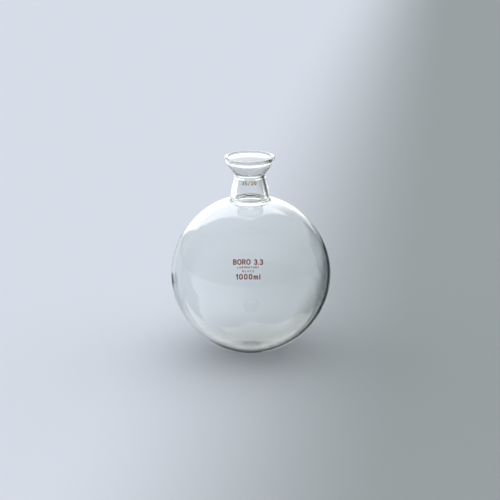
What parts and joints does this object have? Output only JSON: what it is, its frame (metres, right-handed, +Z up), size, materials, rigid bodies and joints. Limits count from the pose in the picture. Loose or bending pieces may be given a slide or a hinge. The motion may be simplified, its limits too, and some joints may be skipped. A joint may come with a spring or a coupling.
{
  "type": "round bottom flask",
  "caption": "Spherical one-litre glass flask with a short flared neck that opens into a ground ball-joint socket, used as a receiver on a rotary evaporator.",
  "frame": {"origin": "lowest point of the bulb, on the flask's axis", "axes": "+Z up along the flask's axis towards the socket, -Y towards the printed front"},
  "size_m": [0.131, 0.131, 0.165],
  "materials": {
    "bulb_glass": "clear, fire polished",
    "neck_glass": "clear, fire polished",
    "socket_glass": "ground matt on the inside of the cup, fire polished elsewhere",
    "red_enamel": "fired enamel, satin",
    "amber_enamel": "fired enamel, satin"
  },
  "bodies": {
    "root": {"bulb": "bulb_glass", "neck": "neck_glass", "ball_socket": "socket_glass", "glass_type_mark": "red_enamel", "lab_mark_upper": "red_enamel", "lab_mark_lower": "red_enamel", "capacity_mark": "red_enamel", "joint_size_mark": "amber_enamel"}
  },
  "joints": []
}
